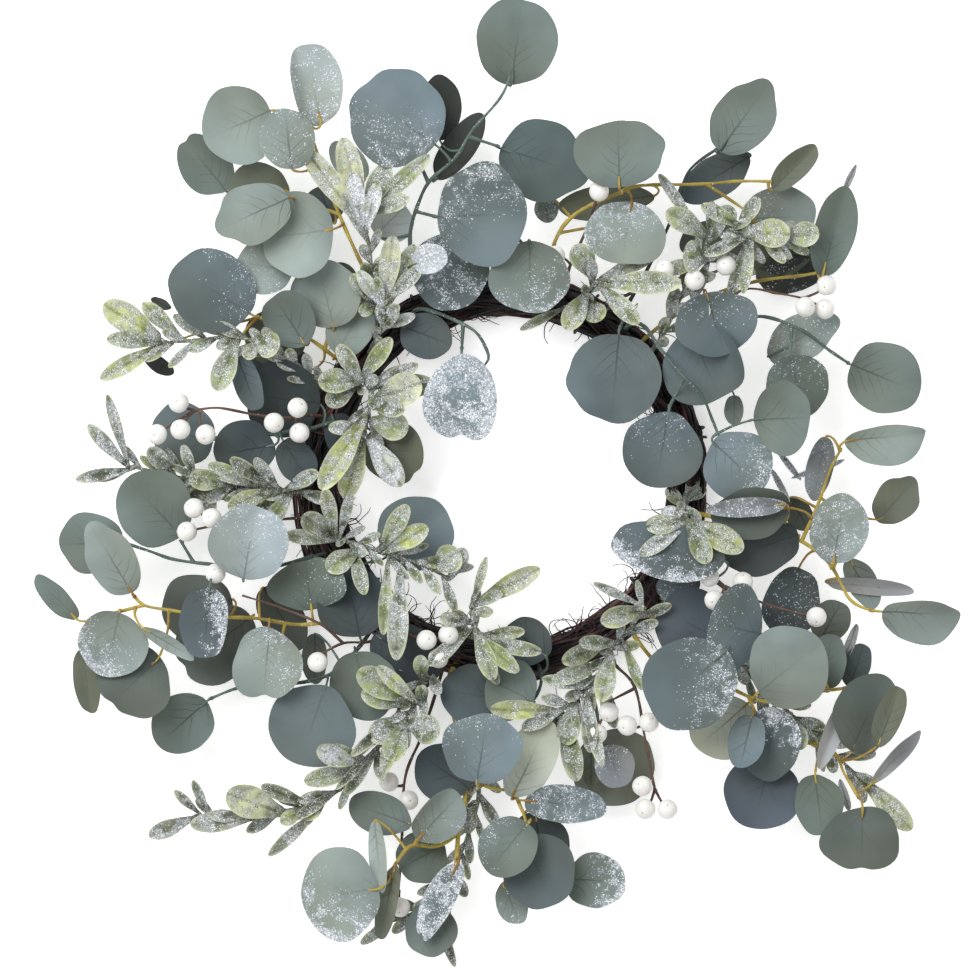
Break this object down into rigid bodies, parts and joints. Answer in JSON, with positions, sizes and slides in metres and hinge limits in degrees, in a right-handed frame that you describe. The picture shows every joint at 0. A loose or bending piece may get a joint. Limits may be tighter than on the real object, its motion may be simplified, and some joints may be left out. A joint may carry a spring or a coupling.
{
  "type": "artificial wreath",
  "caption": "Frosted artificial eucalyptus wreath: round leaves, oblong mistletoe leaves and white berries on a ring of dark twigs, lying flat.",
  "frame": {"origin": "middle of the wreath's bounding box in plan, on the surface it lies on", "axes": "+Z out of the wreath's front, +Y towards its top as it hangs, +X towards its right seen from the front"},
  "size_m": [0.554, 0.581, 0.0871],
  "materials": {
    "twig": "rough dark brown bark",
    "eucalyptus": "matt grey-green cloth leaves with a white glitter frost",
    "mistletoe": "matt yellow-green with a white frost",
    "berry": "smooth off-white with a fine glitter"
  },
  "bodies": {
    "root": {"twig_ring": "twig", "eucalyptus_top_left": "eucalyptus", "eucalyptus_left_high": "eucalyptus", "eucalyptus_top": "eucalyptus", "eucalyptus_top_inner": "eucalyptus", "eucalyptus_top_centre": "eucalyptus", "eucalyptus_top_right": "eucalyptus", "eucalyptus_corner_right": "eucalyptus", "eucalyptus_right_high": "eucalyptus", "eucalyptus_right": "eucalyptus", "eucalyptus_right_inner": "eucalyptus", "eucalyptus_right_low": "eucalyptus", "eucalyptus_lower_right_inner": "eucalyptus", "eucalyptus_lower_right": "eucalyptus", "eucalyptus_corner_low": "eucalyptus", "eucalyptus_left_low": "eucalyptus", "eucalyptus_left_green": "eucalyptus", "eucalyptus_left_bottom": "eucalyptus", "eucalyptus_bottom_left": "eucalyptus", "eucalyptus_bottom": "eucalyptus", "eucalyptus_bottom_inner": "eucalyptus", "eucalyptus_bottom_right": "eucalyptus", "eucalyptus_left": "eucalyptus", "mistletoe_top_left": "mistletoe", "mistletoe_high": "mistletoe", "mistletoe_inner_left": "mistletoe", "mistletoe_left_high": "mistletoe", "mistletoe_left": "mistletoe", "mistletoe_inner_low": "mistletoe", "mistletoe_bottom_inner": "mistletoe", "mistletoe_bottom": "mistletoe", "mistletoe_left_low": "mistletoe", "mistletoe_low_cluster": "mistletoe", "mistletoe_top_inner": "mistletoe", "mistletoe_right_high": "mistletoe", "mistletoe_right": "mistletoe", "mistletoe_corner_low": "mistletoe", "mistletoe_bottom_tail": "mistletoe", "berries_left": "berry", "berries_left_low": "berry", "berries_low_left": "berry", "berries_bottom_inner": "berry", "berries_top": "berry", "berries_top_right": "berry", "berries_right": "berry", "berries_lower_right": "berry", "berries_bottom_right": "berry", "berries_bottom_left": "berry"}
  },
  "joints": []
}
